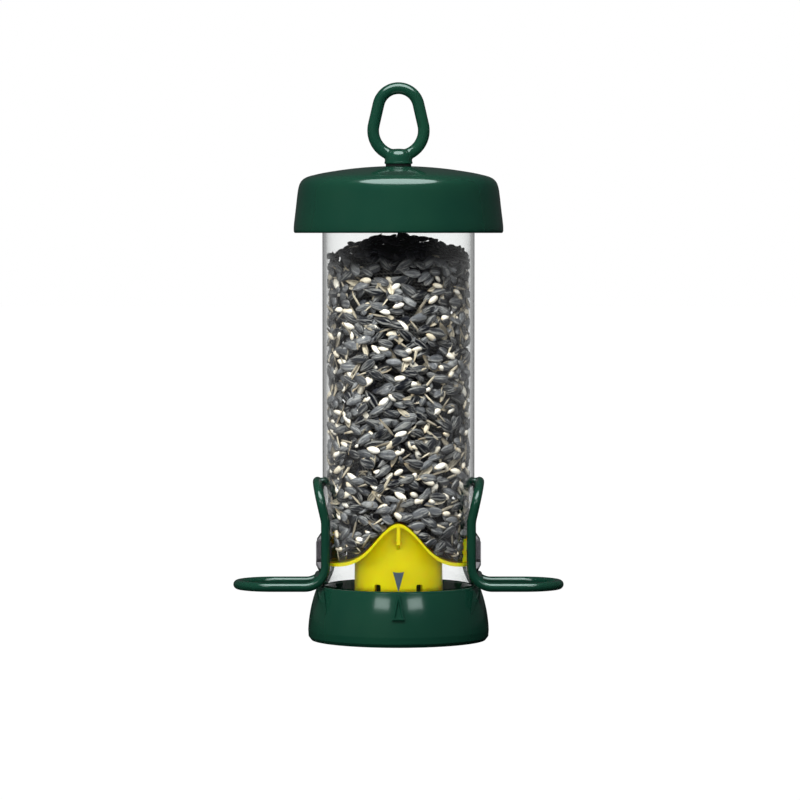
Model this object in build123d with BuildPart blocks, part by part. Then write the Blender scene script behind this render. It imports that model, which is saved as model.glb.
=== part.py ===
from build123d import *

import os
from math import asin, cos, degrees, exp, radians, sin, sqrt

# A hanging tube feeder for small birds. A clear tube of seed stands in a flared green base,
# over a yellow ridge that leads the seed to two ports, one on +X and one on -X. Each port has
# a clear hood and a green perch, one rod bent into a loop. A domed green roof closes the tube
# and carries the hanging eye, whose cross pin locks under a bridge in the top of the tube.
# Millimetres, +Z up. The origin is the centre of the base's underside, the front faces -Y.

# ---- driving dimensions ----
tube_r = 38.0            # outside radius of the clear tube
tube_wall = 1.8
tube_foot_z = 8.05       # the tube's end stands just clear of the base's floor
tube_top_z = 221.0
part_gap = 0.05          # gap where one body rests on another

base_r = 45.3            # widest radius of the base, low on its side
base_rim_r = 40.9        # outside radius just under the rim
base_bore_r = 38.6       # inside radius, round the tube
base_rim_z = 27.3
base_skin = 2.0
base_floor_z = 8.0
base_floor_t = 2.0

ridge_foot_z = 39.5      # top of the ramp where it meets the ports
ridge_rise = 21.0        # height of the ridge above its foot
ridge_spread = 15.0      # half-width at which the ridge has fallen to 37 %
ridge_sheet = 1.8        # thickness of the ramp, measured upright
baffle_r = 35.8          # outside radius of the ramp, inside the tube
plinth_r = 22.0
plinth_wall = 1.8

rod_r = 2.3              # radius of the perch rod
rail_y = 18.1            # half the distance between a perch's two rails
rail_x = 36.2            # the upright rails lie against the tube
perch_z = 27.6           # height of the level rails
perch_bend_r = 10.5
perch_tip_x = 80.5       # rod centre at the outer end
arch_crown_z = 79.2      # rod centre at the crown of the top arch
arch_lean = radians(13)  # the arch leans outward from the upright rails
arch_straight = 6.0      # leaning stretch below the arch's corners
lean_bend_r = 12.0
arch_corner_r = 9.5
arch_corner_turn = radians(55)

port_low_z = 39.5        # clear opening of a port
port_high_z = 50.0
port_half = 9.0
hood_face_x = 41.1       # the hood's front face
hood_half = 12.6

lid_r = 52.4
lid_foot_z = 203.5
lid_shoulder_z = 225.0
lid_crown_z = 236.8
lid_wall = 2.2

shank_r = 4.0            # shank of the hanging eye
eye_rod_r = 2.85
eye_low_r = 12.65        # centreline radius of the eye's wide lower bow
eye_low_z = 254.6        # centre of that bow
eye_high_r = 10.2        # centreline radius of the eye's narrow upper bow
eye_high_z = 265.5
stem_r = 6.85
washer_t = 0.95
pin_r = 1.75
pin_z = 210.9
pin_length = 23.0

bore_r = tube_r - tube_wall
heap_edge_z = 194.0      # the seed's top against the tube
heap_crown_z = 202.0


def ridge_height(x):
    """Height of the ramp's upper face at a distance x from the ridge line."""
    return ridge_foot_z + ridge_rise * exp(-((x / ridge_spread) ** 2))


def ridge_points(reach, lift, count=13):
    """Points along the ramp's section, from -reach to +reach, raised by lift."""
    steps = [reach * (2 * i / (count - 1) - 1) for i in range(count)]
    return [(x, ridge_height(x) + lift) for x in steps]


def write(part, name):
    part.label = name
    export_step(part, f"parts/{name}.step")


os.makedirs("parts", exist_ok=True)

# ---- base: a flared double-walled dish, open underneath ----
side_low = (base_r, 5.0)
side_mid = (43.8, 16.5)
side_high = (base_rim_r, base_rim_z - 1.15)
rim_mid_r = (base_rim_r + base_bore_r) / 2
foot_r = base_r - 1.6
sleeve_r = base_bore_r + base_skin
underside_z = base_floor_z - base_floor_t
boss_r = 6.0
screw_hole_r = 2.0
tube_ring_r = 35.6       # ring inside the tube's foot
plinth_ring_r = plinth_r - plinth_wall - 0.3

with BuildPart() as base_dish:
    with BuildSketch(Plane.XZ):
        with BuildLine():
            Line((foot_r, 0), (base_r - 0.2, 1.8))
            Line((base_r - 0.2, 1.8), side_low)
            ThreePointArc(side_low, side_mid, side_high)
            ThreePointArc(side_high, (rim_mid_r, base_rim_z), (base_bore_r, base_rim_z - 1.15))
            Line((base_bore_r, base_rim_z - 1.15), (base_bore_r, base_floor_z))
            Line((base_bore_r, base_floor_z), (0, base_floor_z))
            Line((0, base_floor_z), (0, underside_z))
            Line((0, underside_z), (sleeve_r, underside_z))
            Line((sleeve_r, underside_z), (sleeve_r - 0.2, 21.0))
            ThreePointArc((sleeve_r - 0.2, 21.0), (41.4, 17.5), (base_r - base_skin, 5.0))
            Line((base_r - base_skin, 5.0), (base_r - base_skin, 1.8))
            Line((base_r - base_skin, 1.8), (foot_r - 1.6, 0))
            Line((foot_r - 1.6, 0), (foot_r, 0))
        make_face()
    revolve(axis=Axis.Z)
    # the ring inside the tube's foot, in four stretches, and the ring inside the plinth
    with BuildSketch(Plane.XY.offset(base_floor_z)):
        Circle(tube_ring_r)
        Circle(tube_ring_r - 1.6, mode=Mode.SUBTRACT)
        with PolarLocations(tube_ring_r, 4, start_angle=45):
            Rectangle(8, 9, mode=Mode.SUBTRACT)
        Circle(plinth_ring_r)
        Circle(plinth_ring_r - 1.5, mode=Mode.SUBTRACT)
    extrude(amount=5)
    # boss and ribs under the floor
    with BuildSketch(Plane.XY.offset(underside_z)):
        Circle(boss_r)
    extrude(amount=-2.4)
    rib_reach = base_r - base_skin + 0.6
    with BuildSketch(Plane.XY.offset(underside_z)):
        with PolarLocations((boss_r - 1 + rib_reach) / 2, 8, start_angle=22.5):
            Rectangle(rib_reach - boss_r + 1, 1.4)
    extrude(amount=-3.2)
    # hole for the screw, and drain holes between plinth and tube
    with Locations((0, 0, underside_z - 2.4)):
        Hole(screw_hole_r)
    with BuildSketch(Plane.XY.offset(base_floor_z)):
        with PolarLocations(27.8, 8):
            Circle(2.2)
    extrude(amount=-base_floor_t, mode=Mode.SUBTRACT)

# raised pointer on the front of the base: a triangle with its point up, bevelled, with a sunk middle
pointer_low = (0, -45.9, 13.6)
pointer_high = (0, -42.3, 26.0)
pointer_rise = sqrt((pointer_high[1] - pointer_low[1]) ** 2 + (pointer_high[2] - pointer_low[2]) ** 2)
pointer_up = (0, (pointer_high[1] - pointer_low[1]) / pointer_rise, (pointer_high[2] - pointer_low[2]) / pointer_rise)
pointer_plane = Plane(origin=pointer_low, x_dir=(1, 0, 0), z_dir=(0, -pointer_up[2], pointer_up[1]))
pointer_bevel = 0.55
pointer_sink = 0.9
with BuildPart() as pointer:
    with BuildSketch(pointer_plane):
        Polygon((-3.2, 0), (3.2, 0), (0.8, pointer_rise), (-0.8, pointer_rise), align=None)
    extrude(amount=-3.0)
    chamfer(pointer.faces().sort_by(Axis.Y)[0].edges(), pointer_bevel)
    with BuildSketch(pointer_plane):
        Polygon((-2.1, 1.1), (2.1, 1.1), (0.2, pointer_rise * 0.86), (-0.2, pointer_rise * 0.86), align=None)
    with BuildSketch(pointer_plane.offset(-pointer_sink)):
        Polygon((-1.3, 1.7), (1.3, 1.7), (0.1, pointer_rise * 0.66), (-0.1, pointer_rise * 0.66), align=None)
    loft(mode=Mode.SUBTRACT)

# four wedge-shaped stops stand out of the wall below the rim and taper down to a point
with BuildPart() as stops:
    with BuildSketch(Plane.XZ):
        Polygon((39.6, 26.0), (42.0, 26.0), (43.6, 20.5), (44.3, 15.2), (42.9, 15.0), align=None)
    revolve(axis=Axis.Z)
    with BuildSketch(Plane.XZ):
        for end in (-1, 1):
            Polygon(
                (end * 40.4, 26.2), (end * 37.2, 26.2), (end * 35.6, 14.9), (end * 36.7, 14.9), align=None)
    extrude(amount=40, both=True, mode=Mode.INTERSECT)

with BuildPart() as base_whole:
    add(base_dish.part)
    add(pointer.part)
    add(stops.part)
write(base_whole.part, "base_dish")

# ---- baffle: the yellow ridge on its plinth, with two latch posts ----
post_y = 11.75
post_top_z = 52.8
with BuildPart() as under_ridge:
    with BuildSketch(Plane.XZ):
        with BuildLine():
            Spline(ridge_points(40, -ridge_sheet / 2))
            low_left = (-40, ridge_height(40) - ridge_sheet / 2)
            low_right = (40, ridge_height(40) - ridge_sheet / 2)
            Polyline(low_left, (-40, 0), (40, 0), low_right)
        make_face()
    extrude(amount=40, both=True)

with BuildPart() as baffle:
    with BuildSketch(Plane.XZ):
        with BuildLine():
            Spline(ridge_points(40, 0))
            Spline(ridge_points(40, -ridge_sheet))
            Line((40, ridge_height(40)), (40, ridge_height(40) - ridge_sheet))
            Line((-40, ridge_height(40)), (-40, ridge_height(40) - ridge_sheet))
        make_face()
    extrude(amount=40, both=True)
    with BuildSketch():
        Circle(baffle_r)
    extrude(amount=80, mode=Mode.INTERSECT)

with BuildPart() as plinth:
    with BuildSketch(Plane.XY.offset(base_floor_z)):
        Circle(plinth_r + 0.3)
    with BuildSketch(Plane.XY.offset(62)):
        Circle(plinth_r - 0.3)
    loft()
    with BuildSketch(Plane.XY.offset(base_floor_z)):
        Circle(plinth_r + 0.3 - plinth_wall)
    with BuildSketch(Plane.XY.offset(62)):
        Circle(plinth_r - 0.3 - plinth_wall)
    loft(mode=Mode.SUBTRACT)
    # six slots near the foot
    for angle in (28, 90, 152, 208, 270, 332):
        with BuildSketch(Plane.XZ.rotated((0, 0, angle)).offset(12)):
            with Locations((0, 23.2)):
                RectangleRounded(3.5, 11.8, 0.9)
        extrude(amount=14, mode=Mode.SUBTRACT)
    # screw boss
    with BuildSketch(Plane.XY.offset(base_floor_z)):
        Circle(4.5)
    extrude(amount=54)
    with BuildSketch(Plane.XY.offset(base_floor_z)):
        Circle(1.8)
    extrude(amount=16, mode=Mode.SUBTRACT)
    # gussets that hold up the two ends of the ridge
    with BuildSketch(Plane.YZ):
        for side in (-1, 1):
            Polygon(
                (side * (baffle_r - 0.5), 59.6), (side * (plinth_r - 1), 59.6),
                (side * (plinth_r - 1), 46.5), (side * (baffle_r - 0.9), 50.0), align=None)
    extrude(amount=0.85, both=True)
    add(under_ridge.part, mode=Mode.INTERSECT)

# latch posts stand on the ramp beside the ports, front right and back left
with BuildPart() as posts:
    with BuildSketch(Plane.XY.offset(ridge_foot_z - 1)):
        Circle(baffle_r)
        Circle(baffle_r - 2.0, mode=Mode.SUBTRACT)
        with Locations((34, -post_y), (-34, post_y)):
            Rectangle(10, 2.1, mode=Mode.INTERSECT)
    extrude(amount=post_top_z - ridge_foot_z + 1)

with BuildPart() as baffle_whole:
    add(baffle.part)
    add(plinth.part)
    add(posts.part)
write(baffle_whole.part, "baffle")

# ---- screw that holds the baffle down on the base ----
head_z = underside_z - 2.4
with BuildPart() as base_screw:
    with BuildSketch(Plane.XY.offset(head_z)):
        Circle(3.4)
    extrude(amount=-2.2)
    fillet(base_screw.edges().group_by(Axis.Z)[0], 1.0)
    with BuildSketch(Plane.XY.offset(head_z)):
        Circle(1.75)
    extrude(amount=18)
    chamfer(base_screw.edges().group_by(Axis.Z)[-1], 0.6)
    with BuildSketch(Plane.XY.offset(head_z - 2.2)):
        Rectangle(4.0, 0.9)
        Rectangle(0.9, 4.0)
    extrude(amount=1.4, mode=Mode.SUBTRACT)
write(base_screw.part, "base_screw")

# ---- clear tube with its two ports and the holes for perches and rivets ----
window_half = port_half + 1.3
window_low_z = port_low_z - 0.9
window_high_z = port_high_z + 2.4
arch_peg_z = arch_crown_z
foot_peg_z = 31.0
peg_r = 1.9
peg_hole_r = 2.05
rivet_z = 215.0
rivet_r = 1.6

with BuildPart() as tube:
    with BuildSketch(Plane.XY.offset(tube_foot_z)):
        Circle(tube_r)
        Circle(bore_r, mode=Mode.SUBTRACT)
    extrude(amount=tube_top_z - tube_foot_z)
    with BuildSketch(Plane.YZ):
        with Locations((0, (window_low_z + window_high_z) / 2)):
            RectangleRounded(2 * window_half, window_high_z - window_low_z, 1.5)
        with Locations((0, arch_peg_z), (0, foot_peg_z)):
            Circle(peg_hole_r)
    extrude(amount=50, both=True, mode=Mode.SUBTRACT)
    with BuildSketch(Plane.XZ):
        with Locations((0, rivet_z)):
            Circle(rivet_r + 0.1)
    extrude(amount=50, both=True, mode=Mode.SUBTRACT)
write(tube.part, "tube")

# ---- hood of a port: a clear collar outside, a scoop roof and cheeks inside ----
scoop_x = 26.5
fit = 0.15
spigot_high_z = window_high_z - fit
with BuildPart() as spigot:
    with BuildSketch(Plane.XZ):
        Polygon(
            (scoop_x, 40.9), (30.5, 40.2), (35.9, 39.9), (36.1, 39.0), (38.6, 39.0),
            (38.6, spigot_high_z), (36.0, spigot_high_z), (scoop_x, 49.0), align=None)
    extrude(amount=window_half - fit, both=True)
    with BuildSketch(Plane.YZ):
        with Locations((0, (window_low_z + window_high_z) / 2)):
            RectangleRounded(2 * (window_half - fit), window_high_z - window_low_z - 2 * fit, 1.5)
    extrude(amount=50, mode=Mode.INTERSECT)

with BuildPart() as port_hood:
    with BuildSketch(Plane.XZ):
        Polygon(
            (34.0, 33.5), (38.7, 33.5), (hood_face_x, 38.3), (hood_face_x, 49.6),
            (38.9, 52.9), (34.0, 52.9), align=None)
    extrude(amount=hood_half, both=True)
    with BuildSketch(Plane.XY.offset(30)):
        Circle(tube_r + fit)
    extrude(amount=30, mode=Mode.SUBTRACT)
    add(spigot.part)
    with BuildSketch(Plane.XZ):
        Polygon(
            (scoop_x - 1, 30), (36.0, 30), (36.0, port_low_z), (50, port_low_z),
            (50, port_high_z), (36.0, port_high_z), (scoop_x - 1, port_high_z - 2.4), align=None)
    extrude(amount=port_half, both=True, mode=Mode.SUBTRACT)
write(port_hood.part, "port_hood_right")
write(mirror(port_hood.part, about=Plane.YZ), "port_hood_left")

# ---- perch: one rod bent into a closed loop, half of it swept and then mirrored ----
# the arch is drawn in its own leaning plane: y across, v up along the lean
corner_y = rail_y - arch_corner_r * (1 - cos(arch_corner_turn))
corner_v = arch_corner_r * sin(arch_corner_turn)
crown_turn = radians(90) - arch_corner_turn
crown_r = corner_y / sin(crown_turn)
crown_v = arch_straight + corner_v + crown_r * (1 - cos(crown_turn))
lean_x = rail_x + lean_bend_r * (1 - cos(arch_lean))
arch_foot_z = arch_crown_z - crown_v * cos(arch_lean)
rail_top_z = arch_foot_z - lean_bend_r * sin(arch_lean)
arch_crown_x = lean_x + crown_v * sin(arch_lean)


def arch_point(y, v):
    """A point of the leaning arch, y across from the middle and v up from the arch's foot."""
    return (lean_x + v * sin(arch_lean), y, arch_foot_z + v * cos(arch_lean))


def corner_point(turn):
    """A point of the arch's corner bend, turned that far from the rail."""
    return arch_point(rail_y - arch_corner_r * (1 - cos(turn)), arch_straight + arch_corner_r * sin(turn))


crown_mid = arch_point(crown_r * sin(crown_turn / 2), crown_v - crown_r * (1 - cos(crown_turn / 2)))
bend_cut = perch_bend_r * (1 - sqrt(0.5))
tip_r = rail_y
with BuildPart() as perch:
    with BuildLine() as half_loop:
        ThreePointArc(arch_point(0, crown_v), crown_mid, corner_point(arch_corner_turn))
        ThreePointArc(
            corner_point(arch_corner_turn), corner_point(arch_corner_turn / 2), corner_point(0))
        Line(corner_point(0), (lean_x, rail_y, arch_foot_z))
        ThreePointArc(
            (lean_x, rail_y, arch_foot_z),
            (rail_x + lean_bend_r * (1 - cos(arch_lean / 2)), rail_y, rail_top_z + lean_bend_r * sin(arch_lean / 2)),
            (rail_x, rail_y, rail_top_z))
        Line((rail_x, rail_y, rail_top_z), (rail_x, rail_y, perch_z + perch_bend_r))
        ThreePointArc(
            (rail_x, rail_y, perch_z + perch_bend_r),
            (rail_x + bend_cut, rail_y, perch_z + bend_cut),
            (rail_x + perch_bend_r, rail_y, perch_z))
        Line((rail_x + perch_bend_r, rail_y, perch_z), (perch_tip_x - tip_r, rail_y, perch_z))
        ThreePointArc(
            (perch_tip_x - tip_r, rail_y, perch_z),
            (perch_tip_x - tip_r * (1 - sqrt(0.5)), tip_r * sqrt(0.5), perch_z),
            (perch_tip_x, 0, perch_z))
    with BuildSketch(Plane(origin=arch_point(0, crown_v), x_dir=(1, 0, 0), z_dir=(0, 1, 0))):
        Circle(rod_r)
    sweep()
    mirror(about=Plane.XZ)
    # peg behind the arch, and a cross bar with a peg low down between the rails
    with BuildSketch(Plane.YZ.offset(33.2)):
        with Locations((0, arch_peg_z)):
            Circle(peg_r)
    extrude(amount=arch_crown_x - 33.2)
    with BuildSketch(Plane.XZ):
        with Locations((40.35, foot_peg_z)):
            Circle(1.95)
    extrude(amount=rail_y, both=True)
    with BuildSketch(Plane.YZ.offset(36.5)):
        with Locations((0, foot_peg_z)):
            Circle(peg_r)
    extrude(amount=3.8)
write(perch.part, "perch_right")
write(mirror(perch.part, about=Plane.YZ), "perch_left")

# ---- push-on nut on each upper peg, inside the tube ----
with BuildPart() as perch_nut:
    with BuildSketch(Plane.YZ.offset(34.5)):
        with Locations((0, arch_peg_z)):
            Circle(4.0)
            Circle(peg_r + 0.05, mode=Mode.SUBTRACT)
    extrude(amount=1.2)
write(perch_nut.part, "perch_nut_right")
write(mirror(perch_nut.part, about=Plane.YZ), "perch_nut_left")

# ---- pointer printed on the front of the tube, aimed at the one on the base ----
mark_top_z = 37.0
mark_tip_z = 27.4
with BuildPart() as align_mark:
    with BuildSketch(Plane.XY.offset(mark_tip_z - 1)):
        Circle(tube_r + 0.16)
        Circle(tube_r, mode=Mode.SUBTRACT)
    extrude(amount=mark_top_z - mark_tip_z + 2)
    with BuildSketch(Plane.XZ):
        with BuildLine():
            ThreePointArc((-2.8, mark_top_z), (0, mark_top_z - 0.45), (2.8, mark_top_z))
            Polyline((2.8, mark_top_z), (0.15, mark_tip_z), (-0.15, mark_tip_z), (-2.8, mark_top_z))
        make_face()
    extrude(amount=50, mode=Mode.INTERSECT)
write(align_mark.part, "align_mark")

# ---- ring on the tube's top edge, with the bridge that the eye's pin locks under ----
ring_top_z = tube_top_z + 2.0
bridge_low_z = 213.0
bridge_t = 4.0
with BuildPart() as top_ring:
    with BuildSketch(Plane.XZ):
        with BuildLine():
            Polyline(
                (34.2, 212.0), (bore_r - 0.15, 212.0), (bore_r - 0.15, tube_top_z + part_gap),
                (tube_r + 0.15, tube_top_z + part_gap), (tube_r + 0.15, 209.0),
                (40.0, 209.0), (40.0, ring_top_z), (34.2, ring_top_z), close=True)
        make_face()
    revolve(axis=Axis.Z)
    with BuildSketch(Plane.XY.offset(bridge_low_z)):
        Rectangle(69.4, 14)
        Circle(9.5)
    extrude(amount=bridge_t)
    with BuildSketch(Plane.XY.offset(bridge_low_z)):
        Circle(shank_r + 0.4)
        SlotOverall(pin_length + 2.4, 2 * pin_r + 0.8)
    extrude(amount=bridge_t, mode=Mode.SUBTRACT)
    with BuildSketch(Plane.XZ):
        with Locations((0, rivet_z)):
            Circle(rivet_r + 0.1)
    extrude(amount=50, both=True, mode=Mode.SUBTRACT)
write(top_ring.part, "top_ring")

# ---- two rivets that hold the ring on the tube, front and back ----
with BuildPart() as ring_rivets:
    with BuildSketch(Plane.XZ.offset(33.2)):
        with Locations((0, rivet_z)):
            Circle(rivet_r)
    extrude(amount=6.9)
    with BuildSketch(Plane.XZ.offset(40.1)):
        with Locations((0, rivet_z)):
            Circle(2.8)
    extrude(amount=1.1)
    fillet(ring_rivets.edges().group_by(Axis.Y)[0], 0.7)
    mirror(about=Plane.XZ)
write(ring_rivets.part, "ring_rivets")

# ---- the charge of seed, one closed solid: heaped on top, hollowed where parts reach in ----
seed_gap = 0.3
heap_r = bore_r - seed_gap
with BuildPart() as seed_fill:
    with BuildSketch(Plane.XZ):
        Polygon(
            (0, heap_crown_z), (0, 30), (heap_r, 30), (heap_r, heap_edge_z),
            (heap_r * 0.6, heap_crown_z - 2.4), (heap_r * 0.25, heap_crown_z), align=None)
    revolve(axis=Axis.Z)
    with BuildSketch(Plane.XZ):
        Polygon(*ridge_points(40, 0.5, 41), (40, 20), (-40, 20), align=None)
    extrude(amount=40, both=True, mode=Mode.SUBTRACT)
    # room for the hoods, the latch posts and the upper pegs with their nuts
    for side in (-1, 1):
        with BuildSketch(Plane.XZ):
            Polygon(
                (side * (scoop_x - seed_gap), 30), (side * 40, 30), (side * 40, window_high_z + seed_gap),
                (side * 36, window_high_z + seed_gap), (side * (scoop_x - seed_gap), 49.0 + seed_gap), align=None)
        extrude(amount=window_half + seed_gap, both=True, mode=Mode.SUBTRACT)
        with BuildSketch(Plane.XY.offset(30)):
            with Locations((side * 36, -side * (post_y + 0.5))):
                Rectangle(10.0, 3.8)
        extrude(amount=post_top_z + seed_gap - 30, mode=Mode.SUBTRACT)
        with BuildSketch(Plane.XZ):
            with Locations((side * 35, arch_peg_z)):
                Rectangle(4.4, 9)
        extrude(amount=4.5, both=True, mode=Mode.SUBTRACT)
write(seed_fill.part, "seed_fill")

# ---- roof: a domed shell with a skirt ----
dome_edge = (46.2, 231.0)
seat_r = 8.0
flat_z = lid_crown_z - lid_wall      # the flat middle of the shell's underside
with BuildPart() as lid:
    with BuildSketch(Plane.XZ):
        with BuildLine():
            ThreePointArc((lid_r - 1.6, lid_foot_z + 0.6), (lid_r - 0.6, lid_foot_z), (lid_r, lid_foot_z + 1.2))
            ThreePointArc((lid_r, lid_foot_z + 1.2), (51.5, 215.5), (50.3, lid_shoulder_z))
            ThreePointArc((50.3, lid_shoulder_z), (49.2, 229.0), dome_edge)
            ThreePointArc(dome_edge, (28.0, 234.7), (seat_r, lid_crown_z))
            Line((seat_r, lid_crown_z), (shank_r + 0.08, lid_crown_z))
            Line((shank_r + 0.08, lid_crown_z), (shank_r + 0.08, flat_z))
            Line((shank_r + 0.08, flat_z), (seat_r, flat_z))
            ThreePointArc((seat_r, flat_z), (28.0, 234.7 - lid_wall), (45.6, 231.0 - lid_wall))
            ThreePointArc((45.6, 231.0 - lid_wall), (47.4, 227.4), (48.1, lid_shoulder_z - 1))
            ThreePointArc((48.1, lid_shoulder_z - 1), (49.3, 215.5), (lid_r - 1.6, lid_foot_z + 0.6))
        make_face()
    revolve(axis=Axis.Z)
write(lid.part, "lid")

# ---- carrier under the roof: a hub for the eye, and a ring that centres the roof on the tube ----
hub_foot_z = 222.7
carrier_ring_r = 43.6
spoke_z = 227.6
with BuildPart() as lid_carrier:
    with BuildSketch(Plane.XY.offset(hub_foot_z)):
        Circle(seat_r - 0.3)
    extrude(amount=flat_z - hub_foot_z)
    with BuildSketch(Plane.XY.offset(214)):
        Circle(carrier_ring_r)
        Circle(carrier_ring_r - 1.6, mode=Mode.SUBTRACT)
    extrude(amount=15.1)
    # eight spokes, and eight ribs that stand on the tube's ring
    with BuildSketch(Plane.XY.offset(spoke_z)):
        with PolarLocations(25.0, 8, start_angle=22.5):
            Rectangle(35.6, 1.6)
    extrude(amount=1.5)
    with BuildSketch(Plane.XY.offset(ring_top_z + part_gap)):
        with PolarLocations(38.9, 8, start_angle=22.5):
            Rectangle(8.0, 1.6)
    extrude(amount=spoke_z + 1.5 - ring_top_z - part_gap)
    with Locations((0, 0, flat_z)):
        Hole(shank_r + 0.08)
write(lid_carrier.part, "lid_carrier")

# ---- rubber washer between the eye's stem and the roof ----
with BuildPart() as seal_washer:
    with BuildSketch(Plane.XY.offset(lid_crown_z + part_gap)):
        Circle(stem_r - 0.45)
        Circle(shank_r + 0.03, mode=Mode.SUBTRACT)
    extrude(amount=washer_t)
write(seal_washer.part, "seal_washer")

# ---- hanging eye: a pear-shaped loop on a stem, whose shank runs down through the roof ----
stem_z = lid_crown_z + part_gap + washer_t
clip_z = hub_foot_z - part_gap - 1.2
lean = asin((eye_low_r - eye_high_r) / (eye_high_z - eye_low_z))
low_join = (eye_low_r * cos(lean), eye_low_z + eye_low_r * sin(lean))
high_join = (eye_high_r * cos(lean), eye_high_z + eye_high_r * sin(lean))
crown_z = eye_high_z + eye_high_r
with BuildPart() as hanger:
    with BuildLine(Plane.XZ):
        high_mid = (radians(90) + lean) / 2
        ThreePointArc(
            (0, crown_z), (eye_high_r * cos(high_mid), eye_high_z + eye_high_r * sin(high_mid)), high_join)
        Line(high_join, low_join)
        low_mid = (lean - radians(90)) / 2
        ThreePointArc(
            low_join, (eye_low_r * cos(low_mid), eye_low_z + eye_low_r * sin(low_mid)),
            (0, eye_low_z - eye_low_r))
    with BuildSketch(Plane(origin=(0, 0, crown_z), x_dir=(0, 1, 0), z_dir=(1, 0, 0))):
        Circle(eye_rod_r)
    sweep()
    mirror(about=Plane.YZ)
    with BuildSketch(Plane.XZ):
        Polygon(
            (0, stem_z), (stem_r, stem_z), (stem_r + 0.4, stem_z + 0.5), (stem_r, stem_z + 1.2),
            (stem_r, 241.6), (5.6, 244.3), (3.6, 245.4), (0, 245.4), align=None)
    revolve(axis=Axis.Z)
    with BuildSketch(Plane.XY.offset(208.6)):
        Circle(shank_r)
    extrude(amount=stem_z - 208.6)
    with BuildSketch(Plane.XY.offset(clip_z - 0.1)):
        Circle(shank_r + 1)
        Circle(shank_r - 0.8, mode=Mode.SUBTRACT)
    extrude(amount=1.4, mode=Mode.SUBTRACT)
    with BuildSketch(Plane.YZ):
        with Locations((0, pin_z)):
            Circle(pin_r + 0.03)
    extrude(amount=20, both=True, mode=Mode.SUBTRACT)
write(hanger.part, "hanger")

# ---- spring clip that keeps the shank in the roof's hub ----
with BuildPart() as retaining_clip:
    with BuildSketch(Plane.XY.offset(clip_z)):
        Circle(6.6)
        Circle(shank_r - 0.75, mode=Mode.SUBTRACT)
        with Locations((0, -5)):
            Rectangle(4.6, 7, mode=Mode.SUBTRACT)
    extrude(amount=1.2)
write(retaining_clip.part, "retaining_clip")

# ---- cross pin through the shank's foot ----
with BuildPart() as lock_pin:
    with BuildSketch(Plane.YZ.offset(-pin_length / 2)):
        with Locations((0, pin_z)):
            Circle(pin_r)
    extrude(amount=pin_length)
    chamfer(lock_pin.edges(), 0.4)
write(lock_pin.part, "lock_pin")
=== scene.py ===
import bpy
import bmesh
import math
import numpy as np
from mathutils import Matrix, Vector


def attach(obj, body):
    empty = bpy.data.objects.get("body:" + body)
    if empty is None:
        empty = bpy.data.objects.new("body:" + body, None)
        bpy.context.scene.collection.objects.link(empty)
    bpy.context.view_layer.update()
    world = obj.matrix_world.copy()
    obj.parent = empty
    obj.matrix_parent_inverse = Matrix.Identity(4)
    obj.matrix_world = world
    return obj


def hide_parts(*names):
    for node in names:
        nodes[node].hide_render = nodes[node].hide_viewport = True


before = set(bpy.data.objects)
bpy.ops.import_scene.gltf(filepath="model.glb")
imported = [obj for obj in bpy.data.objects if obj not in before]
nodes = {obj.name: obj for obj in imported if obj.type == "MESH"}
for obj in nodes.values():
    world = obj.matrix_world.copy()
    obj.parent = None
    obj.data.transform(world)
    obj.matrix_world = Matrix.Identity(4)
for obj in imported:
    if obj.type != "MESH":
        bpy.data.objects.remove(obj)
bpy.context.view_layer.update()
scene = bpy.context.scene
mm = 0.001
mergeBy = 1e-6


# small helpers
def addObject(name, mesh):
    obj = bpy.data.objects.new(name, mesh)
    scene.collection.objects.link(obj)
    return obj


def meshObject(name, verts, faces, material, sharpAngle=35):
    mesh = bpy.data.meshes.new(name)
    mesh.from_pydata([tuple(v) for v in verts], [], faces)
    mesh.materials.append(material)
    tidyMesh(mesh, sharpAngle)
    return addObject(name, mesh)


def tidyMesh(mesh, sharpAngle=35):
    bm = bmesh.new()
    bm.from_mesh(mesh)
    bmesh.ops.remove_doubles(bm, verts=bm.verts, dist=mergeBy)
    bmesh.ops.recalc_face_normals(bm, faces=bm.faces)
    for edge in bm.edges:
        edge.smooth = edge.is_manifold and edge.calc_face_angle(0) < math.radians(sharpAngle)
    for face in bm.faces:
        face.smooth = True
    bm.to_mesh(mesh)
    bm.free()


def bake(obj):
    # keeps the evaluated shape as a plain mesh, with the modifiers gone
    graph = bpy.context.evaluated_depsgraph_get()
    mesh = bpy.data.meshes.new_from_object(obj.evaluated_get(graph), preserve_all_data_layers=True, depsgraph=graph)
    obj.modifiers.clear()
    obj.data = mesh


def smoothLine(points, steps):
    # a soft curve through the points
    p = np.array(points, float)
    ends = np.vstack([2 * p[0] - p[1], p, 2 * p[-1] - p[-2]])
    out = []
    for i in range(1, len(ends) - 2):
        a, b, c, d = ends[i - 1], ends[i], ends[i + 1], ends[i + 2]
        for t in np.linspace(0, 1, steps, endpoint=False):
            out.append(0.5 * (2 * b + (c - a) * t + (2 * a - 5 * b + 4 * c - d) * t ** 2
                              + (3 * b - a - 3 * c + d) * t ** 3))
    out.append(ends[-2])
    return [tuple(v) for v in out]


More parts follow.
